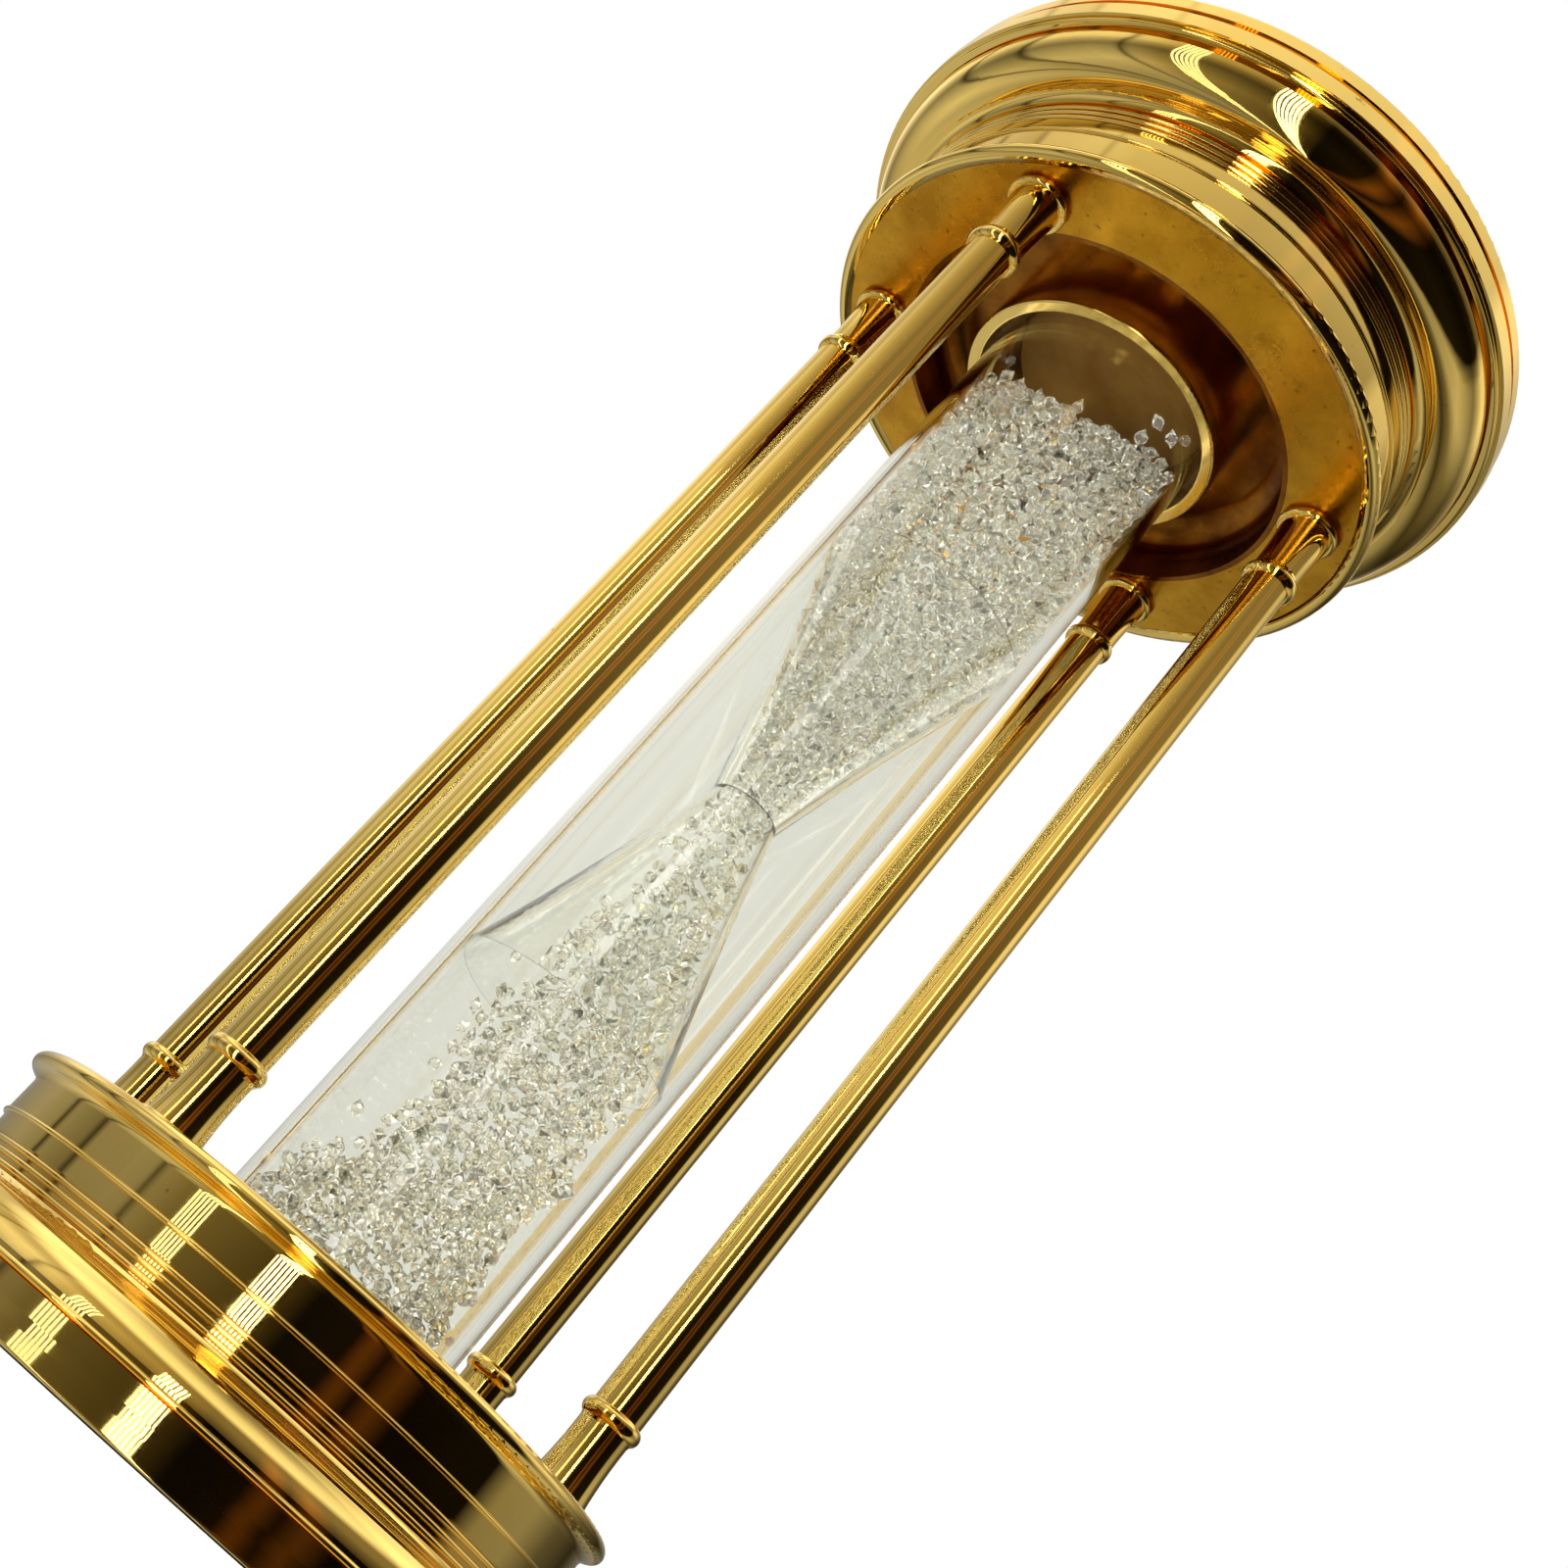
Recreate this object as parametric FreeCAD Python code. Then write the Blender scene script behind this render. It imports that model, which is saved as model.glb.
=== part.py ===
import FreeCAD, Part
import math
import os

# Brass hourglass filled with faceted crystals instead of sand.
# Two identical turned caps face each other across four straight posts, and a clear
# cylinder with an inner double cone stands between them.
# Frame: +Z up along the turning axis, origin at the centre of the lower resting face,
# millimetres.

# Overall sizes
LIP_SPACING = 167.8          # between the two caps' lip planes
CAP_HEIGHT = 26.2            # lip plane to the end cover's outer face
FELT_STANDOFF = 0.2          # felt stands this far out of the end cover
HALF_HEIGHT = LIP_SPACING / 2 + CAP_HEIGHT + FELT_STANDOFF

# Turned shell of a cap, in radii; depths run down from the lip plane
LIP_R = 44.0
LIP_INNER_R = 41.7
LIP_BEAD_R = 1.1
LIP_INSIDE = ((0.3, 0.3), (0.9, 0.0))          # from the inner edge, as (radius, depth)
LIP_UNDERCUT = ((-0.25, 0.6), (-0.8, 0.9))     # from the widest point of the lip
LIP_FILLET = (0.3, 2.45)                       # beyond the band, and its depth
LIP_BOTTOM = 3.1
BAND_A_R = 42.1
BAND_A_BOTTOM = 7.6
RIDGE_R = 0.3
BAND_B_R = 41.9
BAND_B_BOTTOM = 10.3
BEAD_COUNT = 3
BEAD_PITCH = 1.1
BEAD_R = 0.36
BEAD_CENTRE_R = 41.75
GROOVE_R = 41.3
SCOTIA_TOP = 13.7
SCOTIA_R = 42.4
SCOTIA_MIDDLE = (0.5, 0.65)                    # from the scotia's start
OGEE_TURN_R = 44.0
OGEE_TURN = 14.6
TORUS_MIDDLE = (-1.6, 1.4)                     # in from the torus, down from the ogee's turn
TORUS_R = 49.3
TORUS_BOTTOM = 19.2
TORUS_STEP = 0.4
EDGE_BEAD_R = 0.4
EDGE_BEAD_CENTRE_R = 50.1
EDGE_BEAD_DEPTH = 20.1
BAND_C_R = 51.0
BAND_C_TOP = 20.6
BAND_C_BOTTOM = 22.8
SHELL_WALL_R = 40.2
SHELL_SHOULDER = 12.6
SHELL_MOUTH_R = 47.4
SHELL_MOUTH_TOP = 18.6

# Deck plate, set inside the lip
DECK_TOP = 0.5
DECK_THICKNESS = 1.6
DECK_BOTTOM = DECK_TOP + DECK_THICKNESS
DECK_R = 41.65
DECK_HOLE_R = 31.2

# Glass cup: the deep dish in the middle of the deck, and the collar in it
CUP_WALL = 0.8
CUP_FLOOR = 9.6
CUP_CORNER_R = 5.0
COLLAR_OUTER_R = 20.3
COLLAR_INNER_R = 18.35
COLLAR_EDGE_R = 0.35

# End cover, pushed into the shell's mouth
COVER_R = 50.6
COVER_TOP = 24.1
COVER_EDGE_R = 0.4
NECK_R = 49.3
SPIGOT_R = 47.35
SPIGOT_INNER_R = 45.4
SPIGOT_TOP = 19.4
FELT_R = 47.0
FELT_RECESS = 1.2
FELT_GAP = 0.1

# Posts: rods with a ferrule at each end, on a rectangle inside the deck
POST_CIRCLE_R = 35.76
POST_HALF_ANGLE = 56.4       # from the front and back directions, in degrees
ROD_R = 3.25
TENON_R = 2.0
RING_DEPTH = -10.8
RING_HALF = 1.0
RING_R = 3.95
NECK_TOP_R = 3.3
NECK_FOOT_R = 3.75
NECK_SHOULDER = 0.4
NECK_WAIST = (0.08, 4.0)     # beyond the neck's top radius, and up from the foot
RING_EDGE = 0.55             # how far the ring's edges lie inside its crest
FOOT_R = 4.5
FOOT_BEAD = 1.3
FOOT_INSET = 0.5
FOOT_CREST = 0.75            # the bead's crest, up from the deck
FOOT_EDGE = 0.25
WASHER_R = 4.0
WASHER_THICKNESS = 0.8
NUT_FLATS = 7.0
NUT_THICKNESS = 3.2
NUT_CHAMFER = 0.5
TENON_END = 8.4
TENON_TIP = 0.4
BORE_CLEARANCE = 0.1

# Glass
TUBE_R = 17.4
TUBE_WALL = 1.5
TUBE_END = 8.3               # depth of the glass's end below the lip plane
TUBE_BORE_R = TUBE_R - TUBE_WALL
DISC_THICKNESS = 1.5
CONE_HALF_LENGTH = 39.0
WAIST_R = 5.2
CONE_WALL = 0.9
CONE_RIM = 0.15              # wall at the wide end, where the cone is drawn into the tube
CONE_SAG = 0.3
GASKET_R = 18.3
GASKET_INNER_R = 13.5
SLEEVE_TOP = 4.5
RUNNING_GAP = 0.05

# Crystals: the object last lay on its side, so both charges lean to one side of the glass
CRYSTAL_GAP = 0.4
UPPER_SURFACE = 81.0         # free surface of the upper charge on the axis, above the waist
UPPER_SLOPE = 33.5           # its slope, in degrees
UPPER_RISE_AZIMUTH = 52.0    # the side on which it is highest, in degrees from +X
SLIDE_AZIMUTH = 210.0        # the empty side of the lower bulb, in degrees from +X
SLIDE_FACE = 0.5             # open face of the crystals sliding down the other side
SLIDE_START = 4.0            # these four heights run down from the waist
SLIDE_TOP = 14.0
HEAP_TOE = 60.0
HEAP_CREST = 76.0

ENDS = ("bottom", "top")
DIAGONAL = math.sqrt(0.5)    # share of an arc's radius at its middle, along each axis
Z = FreeCAD.Vector(0, 0, 1)
X = FreeCAD.Vector(1, 0, 0)
Y = FreeCAD.Vector(0, 1, 0)
ORIGIN = FreeCAD.Vector(0, 0, 0)


def point(radius, depth):
    """Point of an outline, at a depth below the lip plane."""
    return FreeCAD.Vector(radius, 0, -depth)


def turned(start, *steps):
    """Solid of revolution. A step is an end point, or (through, end) for an arc."""
    edges = []
    here = start
    for step in steps + (start,):
        if len(step) == 2 and isinstance(step[0], tuple):
            through, end = step
            arc = Part.Arc(point(*here), point(*through), point(*end))
            edges.append(arc.toShape())
        else:
            end = step
            edges.append(Part.LineSegment(point(*here), point(*end)).toShape())
        here = end
    face = Part.Face(Part.Wire(edges))
    return face.revolve(ORIGIN, Z, 360)


def shifted(start, step):
    return (start[0] + step[0], start[1] + step[1])


def arc_from(start, offsets):
    """Arc step whose middle and end are given as offsets from a point."""
    return tuple(shifted(start, offset) for offset in offsets)


def disc(radius, top, bottom, bore=0.0):
    """Flat disc or ring between two depths."""
    body = Part.makeCylinder(radius, bottom - top, FreeCAD.Vector(0, 0, -bottom))
    if bore:
        hole = Part.makeCylinder(bore, bottom - top, FreeCAD.Vector(0, 0, -bottom))
        body = body.cut(hole)
    return body


def placed(shape, end):
    """Move a shape from the lip-plane frame to the bottom or the top of the object."""
    moved = shape.copy()
    if end == "top":
        moved.rotate(ORIGIN, X, 180)
        moved.translate(FreeCAD.Vector(0, 0, HALF_HEIGHT + LIP_SPACING / 2))
    else:
        moved.translate(FreeCAD.Vector(0, 0, HALF_HEIGHT - LIP_SPACING / 2))
    return moved


def post_centres():
    """Post positions on the deck: a wide rectangle, open to the front and back."""
    half_width = POST_CIRCLE_R * math.sin(math.radians(POST_HALF_ANGLE))
    half_depth = POST_CIRCLE_R * math.cos(math.radians(POST_HALF_ANGLE))
    signs = ((-1, -1), (1, -1), (1, 1), (-1, 1))
    return [FreeCAD.Vector(x * half_width, y * half_depth, 0) for x, y in signs]


def moved_to(shape, centre):
    copy = shape.copy()
    copy.translate(centre)
    return copy


def bead_steps(first_depth):
    """Outline of the fine beads, with a square groove above each one."""
    steps = []
    for index in range(BEAD_COUNT):
        centre = first_depth + (index + 0.5) * BEAD_PITCH
        steps.append((GROOVE_R, centre - BEAD_PITCH / 2))
        steps.append((GROOVE_R, centre - BEAD_R))
        steps.append((BEAD_CENTRE_R, centre - BEAD_R))
        crest = (BEAD_CENTRE_R + BEAD_R, centre)
        steps.append((crest, (BEAD_CENTRE_R, centre + BEAD_R)))
        steps.append((GROOVE_R, centre + BEAD_R))
    return steps


def cap_shell():
    """Turned brass shell: lip, two plain bands, beads, scotia, torus and rim band."""
    bead_middle = LIP_R - LIP_BEAD_R
    shoulder = (bead_middle + DIAGONAL * LIP_BEAD_R, LIP_BEAD_R * (1 - DIAGONAL))
    lip = [
        arc_from((LIP_INNER_R, 0), LIP_INSIDE),
        (bead_middle, 0),
        (shoulder, (LIP_R, LIP_BEAD_R)),
        arc_from((LIP_R, LIP_BEAD_R), LIP_UNDERCUT),
        ((BAND_A_R + LIP_FILLET[0], LIP_FILLET[1]), (BAND_A_R, LIP_BOTTOM)),
    ]
    bands = [
        (BAND_A_R, BAND_A_BOTTOM - RIDGE_R),
        ((BAND_A_R + RIDGE_R, BAND_A_BOTTOM), (BAND_A_R, BAND_A_BOTTOM + RIDGE_R)),
        (BAND_B_R, BAND_A_BOTTOM + RIDGE_R),
        (BAND_B_R, BAND_B_BOTTOM),
    ]
    swell = [
        (GROOVE_R, SCOTIA_TOP),
        (SCOTIA_R, SCOTIA_TOP),
        (shifted((SCOTIA_R, SCOTIA_TOP), SCOTIA_MIDDLE), (OGEE_TURN_R, OGEE_TURN)),
        (shifted((TORUS_R, OGEE_TURN), TORUS_MIDDLE), (TORUS_R, TORUS_BOTTOM)),
        (TORUS_R - TORUS_STEP, TORUS_BOTTOM),
        (TORUS_R - TORUS_STEP, EDGE_BEAD_DEPTH - EDGE_BEAD_R),
        (EDGE_BEAD_CENTRE_R, EDGE_BEAD_DEPTH - EDGE_BEAD_R),
        ((EDGE_BEAD_CENTRE_R + EDGE_BEAD_R, EDGE_BEAD_DEPTH),
         (EDGE_BEAD_CENTRE_R, EDGE_BEAD_DEPTH + EDGE_BEAD_R)),
        (BAND_C_R, BAND_C_TOP),
        (BAND_C_R, BAND_C_BOTTOM),
    ]
    inside = [
        (SHELL_MOUTH_R, BAND_C_BOTTOM),
        (SHELL_MOUTH_R, SHELL_MOUTH_TOP),
        (SHELL_WALL_R, SHELL_SHOULDER),
        (SHELL_WALL_R, DECK_BOTTOM),
        (LIP_INNER_R, DECK_BOTTOM),
    ]
    outline = lip + bands + bead_steps(BAND_B_BOTTOM) + swell + inside
    return turned((LIP_INNER_R, DECK_TOP), *outline)


def deck_plate():
    """Flat ring inside the lip, with a hole for each post's tenon."""
    plate = disc(DECK_R, DECK_TOP, DECK_BOTTOM, DECK_HOLE_R)
    for centre in post_centres():
        start = FreeCAD.Vector(centre.x, centre.y, -DECK_BOTTOM)
        plate = plate.cut(Part.makeCylinder(TENON_R + BORE_CLEARANCE, DECK_THICKNESS, start))
    return plate


def glass_cup():
    """Deep dish with a round bottom corner; its rim is flush with the deck."""
    outer = DECK_HOLE_R
    inner = DECK_HOLE_R - CUP_WALL
    under = CUP_FLOOR + CUP_WALL
    corner = CUP_CORNER_R + CUP_WALL
    centre = (inner - CUP_CORNER_R, CUP_FLOOR - CUP_CORNER_R)
    outer_mid = shifted(centre, (DIAGONAL * corner, DIAGONAL * corner))
    inner_mid = shifted(centre, (DIAGONAL * CUP_CORNER_R, DIAGONAL * CUP_CORNER_R))
    return turned(
        (0, CUP_FLOOR),
        (0, under),
        (centre[0], under),
        (outer_mid, (outer, centre[1])),
        (outer, DECK_TOP),
        (inner, DECK_TOP),
        (inner, centre[1]),
        (inner_mid, (centre[0], CUP_FLOOR)),
    )


def collar():
    """Brass ring that holds the end of the glass, level with the lip."""
    drop = COLLAR_EDGE_R * (1 - DIAGONAL)
    return turned(
        (COLLAR_INNER_R, CUP_FLOOR),
        (COLLAR_OUTER_R, CUP_FLOOR),
        (COLLAR_OUTER_R, COLLAR_EDGE_R),
        ((COLLAR_OUTER_R - drop, drop), (COLLAR_OUTER_R - COLLAR_EDGE_R, 0)),
        (COLLAR_INNER_R + COLLAR_EDGE_R, 0),
        ((COLLAR_INNER_R + drop, drop), (COLLAR_INNER_R, COLLAR_EDGE_R)),
    )


def glass_gasket():
    """Rubber seat under the glass's end, with a sleeve up its side."""
    sleeve_r = TUBE_R + RUNNING_GAP
    return turned(
        (GASKET_INNER_R, CUP_FLOOR),
        (GASKET_R, CUP_FLOOR),
        (GASKET_R, SLEEVE_TOP),
        (sleeve_r, SLEEVE_TOP),
        (sleeve_r, TUBE_END),
        (GASKET_INNER_R, TUBE_END),
    )


def end_cover():
    """Last disc of the cap, with a spigot that pushes into the shell's mouth."""
    bottom = CAP_HEIGHT
    edge = COVER_EDGE_R
    drop = edge * (1 - DIAGONAL)
    return turned(
        (0, COVER_TOP),
        (0, bottom - FELT_RECESS),
        (FELT_R + FELT_GAP, bottom - FELT_RECESS),
        (FELT_R + FELT_GAP, bottom),
        (COVER_R - edge, bottom),
        ((COVER_R - drop, bottom - drop), (COVER_R, bottom - edge)),
        (COVER_R, COVER_TOP),
        (NECK_R, COVER_TOP),
        (NECK_R, BAND_C_BOTTOM),
        (SPIGOT_R, BAND_C_BOTTOM),
        (SPIGOT_R, SPIGOT_TOP),
        (SPIGOT_INNER_R, SPIGOT_TOP),
        (SPIGOT_INNER_R, COVER_TOP),
    )


def felt_pad():
    """Felt disc glued into the end cover's recess; the object rests on it."""
    return disc(FELT_R, CAP_HEIGHT - FELT_RECESS, CAP_HEIGHT + FELT_STANDOFF)


def ferrule():
    """Turned sleeve at a post's end: ring bead, flared neck and beaded foot."""
    bore = TENON_R + RUNNING_GAP
    foot_top = DECK_TOP - FOOT_BEAD
    waist = (NECK_TOP_R + NECK_WAIST[0], foot_top - NECK_WAIST[1])
    return turned(
        (bore, DECK_TOP),
        (FOOT_R - FOOT_INSET, DECK_TOP),
        (FOOT_R - FOOT_INSET, DECK_TOP - FOOT_EDGE),
        ((FOOT_R, DECK_TOP - FOOT_CREST), (FOOT_R - FOOT_INSET, foot_top)),
        (NECK_FOOT_R, foot_top),
        (waist, (NECK_TOP_R, RING_DEPTH + RING_HALF + NECK_SHOULDER)),
        (RING_R - RING_EDGE, RING_DEPTH + RING_HALF),
        ((RING_R, RING_DEPTH), (RING_R - RING_EDGE, RING_DEPTH - RING_HALF)),
        (bore, RING_DEPTH - RING_HALF),
    )


def post_rod():
    """Straight rod between two ferrules, with a thin tenon through each."""
    shoulder = LIP_SPACING / 2 + RING_DEPTH - RING_HALF
    tenon = LIP_SPACING / 2 + TENON_END
    rod = Part.makeCylinder(ROD_R, 2 * shoulder, FreeCAD.Vector(0, 0, -shoulder))
    core = Part.makeCylinder(TENON_R, 2 * tenon, FreeCAD.Vector(0, 0, -tenon))
    rims = [edge for edge in core.Edges if edge.Closed]
    core = core.makeChamfer(TENON_TIP, rims)
    post = rod.fuse(core)
    post.translate(FreeCAD.Vector(0, 0, HALF_HEIGHT))
    return post


def hexagon(flats, top, thickness):
    """Hexagonal prism between two depths."""
    corner_r = flats / math.sqrt(3)
    corners = []
    for index in range(7):
        angle = math.radians(60 * index)
        corners.append(FreeCAD.Vector(corner_r * math.cos(angle), corner_r * math.sin(angle), -top))
    face = Part.Face(Part.makePolygon(corners))
    return face.extrude(FreeCAD.Vector(0, 0, -thickness))


def post_washer():
    return disc(WASHER_R, DECK_BOTTOM, DECK_BOTTOM + WASHER_THICKNESS, TENON_R + BORE_CLEARANCE)


def post_nut():
    """Chamfered hexagon nut under the washer."""
    top = DECK_BOTTOM + WASHER_THICKNESS
    nut = hexagon(NUT_FLATS, top, NUT_THICKNESS)
    corner_r = NUT_FLATS / math.sqrt(3)
    rounding = turned(
        (0, top),
        (NUT_FLATS / 2, top),
        (corner_r, top + NUT_CHAMFER),
        (corner_r, top + NUT_THICKNESS - NUT_CHAMFER),
        (NUT_FLATS / 2, top + NUT_THICKNESS),
        (0, top + NUT_THICKNESS),
    )
    bore = disc(TENON_R + RUNNING_GAP, top, top + NUT_THICKNESS)
    return nut.common(rounding).cut(bore)


def glass_tube():
    length = LIP_SPACING + 2 * TUBE_END
    base = FreeCAD.Vector(0, 0, HALF_HEIGHT - length / 2)
    outer = Part.makeCylinder(TUBE_R, length, base)
    return outer.cut(Part.makeCylinder(TUBE_BORE_R, length, base))


def glass_end_disc():
    """Clear disc that closes the end of the tube."""
    return disc(TUBE_BORE_R - RUNNING_GAP, TUBE_END - DISC_THICKNESS, TUBE_END)


def cone_point(radius, height):
    """Outline point of a funnel, at a height above the waist plane."""
    return (radius, -height)


def funnel():
    """One half of the inner double cone, drawn above the waist plane."""
    rim = TUBE_BORE_R - RUNNING_GAP
    middle = (rim + WAIST_R) / 2 - CONE_SAG
    half = CONE_HALF_LENGTH / 2
    return turned(
        cone_point(WAIST_R, 0),
        (cone_point(middle, half), cone_point(rim, CONE_HALF_LENGTH)),
        cone_point(rim - CONE_RIM, CONE_HALF_LENGTH),
        (cone_point(middle - CONE_WALL, half), cone_point(WAIST_R - CONE_WALL, 0)),
    )


def upright(shape, flip):
    """Put a shape drawn above the waist plane at the waist, turned over for the lower half."""
    moved = shape.copy()
    if flip:
        moved.rotate(ORIGIN, X, 180)
    moved.translate(FreeCAD.Vector(0, 0, HALF_HEIGHT))
    return moved


def bulb_filling(top):
    """Space inside one bulb, drawn above the waist plane, less a gap to the glass."""
    bore = TUBE_BORE_R - CRYSTAL_GAP
    narrow = WAIST_R - CONE_WALL - CRYSTAL_GAP
    middle = (TUBE_BORE_R + WAIST_R) / 2 - CONE_SAG - CONE_WALL - CRYSTAL_GAP
    return turned(
        cone_point(0, CRYSTAL_GAP),
        cone_point(narrow, CRYSTAL_GAP),
        (cone_point(middle, CONE_HALF_LENGTH / 2), cone_point(bore - CONE_RIM, CONE_HALF_LENGTH)),
        cone_point(bore, CONE_HALF_LENGTH + CONE_RIM),
        cone_point(bore, top),
        cone_point(0, top),
    )


def bulb_end():
    """Height above the waist at which a bulb's crystals meet the end disc."""
    return LIP_SPACING / 2 + TUBE_END - DISC_THICKNESS - CRYSTAL_GAP


def upper_crystals():
    """Closed solid of the charge in the upper bulb, from the waist to its slanted surface."""
    side = 4 * TUBE_R
    air = Part.makeBox(2 * side, 2 * side, side, FreeCAD.Vector(-side, -side, 0))
    air.rotate(ORIGIN, Y, -UPPER_SLOPE)
    air.rotate(ORIGIN, Z, UPPER_RISE_AZIMUTH)
    air.translate(FreeCAD.Vector(0, 0, UPPER_SURFACE))
    return upright(bulb_filling(bulb_end()).cut(air), False)


def lower_crystals():
    """Closed solid of the charge in the lower bulb: a slide down one side, and a heap."""
    outside = 2 * TUBE_R
    profile = (
        (SLIDE_FACE, SLIDE_TOP),
        (WAIST_R, SLIDE_START),
        (outside, SLIDE_START),
        (outside, HEAP_CREST),
        (TUBE_R, HEAP_CREST),
        (SLIDE_FACE, HEAP_TOE),
    )
    corners = [FreeCAD.Vector(away, -outside, height) for away, height in profile]
    face = Part.Face(Part.makePolygon(corners + corners[:1]))
    hollow = face.extrude(FreeCAD.Vector(0, 2 * outside, 0))
    hollow.rotate(ORIGIN, Z, -SLIDE_AZIMUTH)
    return upright(bulb_filling(bulb_end()).cut(hollow), True)


def save(name, shape):
    """Write one node, after checking that it is sound."""
    if not shape.isValid():
        raise ValueError(name + " is not a valid shape")
    shape.exportStep("parts/" + name + ".step")
    print(name, len(shape.Solids), "solid(s)", round(shape.Volume, 1), "mm3")


def build_ends():
    """Every piece that is the same at both ends."""
    centres = post_centres()
    pieces = {
        "cap_shell": cap_shell(),
        "deck_plate": deck_plate(),
        "glass_cup": glass_cup(),
        "collar": collar(),
        "glass_gasket": glass_gasket(),
        "glass_end_disc": glass_end_disc(),
        "end_cover": end_cover(),
        "felt_pad": felt_pad(),
        "post_washers": Part.makeCompound([moved_to(post_washer(), c) for c in centres]),
        "post_nuts": Part.makeCompound([moved_to(post_nut(), c) for c in centres]),
    }
    for end in ENDS:
        for name, shape in pieces.items():
            save(end + "_" + name, placed(shape, end))
        for index, centre in enumerate(centres, 1):
            save(end + "_ferrule_%d" % index, placed(moved_to(ferrule(), centre), end))


def build_middle():
    """Posts, glass and crystals."""
    for index, centre in enumerate(post_centres(), 1):
        save("post_rod_%d" % index, moved_to(post_rod(), centre))
    save("glass_tube", glass_tube())
    save("upper_funnel", upright(funnel(), False))
    save("lower_funnel", upright(funnel(), True))
    save("upper_crystals", upper_crystals())
    save("lower_crystals", lower_crystals())


os.makedirs("parts", exist_ok=True)
build_ends()
build_middle()
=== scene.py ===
import math
import random

import bpy
from mathutils import Matrix, Vector

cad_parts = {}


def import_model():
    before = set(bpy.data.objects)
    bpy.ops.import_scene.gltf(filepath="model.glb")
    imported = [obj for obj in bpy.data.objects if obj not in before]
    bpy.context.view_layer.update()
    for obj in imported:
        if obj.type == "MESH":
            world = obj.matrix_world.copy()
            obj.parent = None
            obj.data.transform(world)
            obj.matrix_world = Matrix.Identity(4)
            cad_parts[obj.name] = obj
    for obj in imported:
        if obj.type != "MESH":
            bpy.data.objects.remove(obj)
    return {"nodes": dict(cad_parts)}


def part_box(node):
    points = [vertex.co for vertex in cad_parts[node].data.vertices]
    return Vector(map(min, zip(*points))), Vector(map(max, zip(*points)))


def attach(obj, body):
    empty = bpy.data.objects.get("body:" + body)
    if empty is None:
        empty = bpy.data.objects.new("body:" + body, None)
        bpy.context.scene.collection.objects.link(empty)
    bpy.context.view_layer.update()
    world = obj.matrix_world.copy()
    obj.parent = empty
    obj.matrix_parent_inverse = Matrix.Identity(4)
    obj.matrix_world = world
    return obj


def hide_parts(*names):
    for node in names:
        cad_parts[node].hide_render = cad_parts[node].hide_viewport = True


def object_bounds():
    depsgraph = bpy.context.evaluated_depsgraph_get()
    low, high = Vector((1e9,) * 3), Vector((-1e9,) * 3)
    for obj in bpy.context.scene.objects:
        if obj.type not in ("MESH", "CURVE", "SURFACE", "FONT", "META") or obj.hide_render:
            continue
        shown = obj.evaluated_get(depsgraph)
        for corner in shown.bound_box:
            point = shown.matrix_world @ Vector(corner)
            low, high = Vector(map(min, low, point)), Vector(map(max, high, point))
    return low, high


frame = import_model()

# The looks of the brass crystal hourglass, in metres, in the CAD frame.
CAD_LOW, CAD_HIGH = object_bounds()
NODES = frame["nodes"]
MM = 0.001
HALF_HEIGHT = (CAD_LOW.z + CAD_HIGH.z) / 2


# ---------------------------------------------------------------- node helpers

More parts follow.
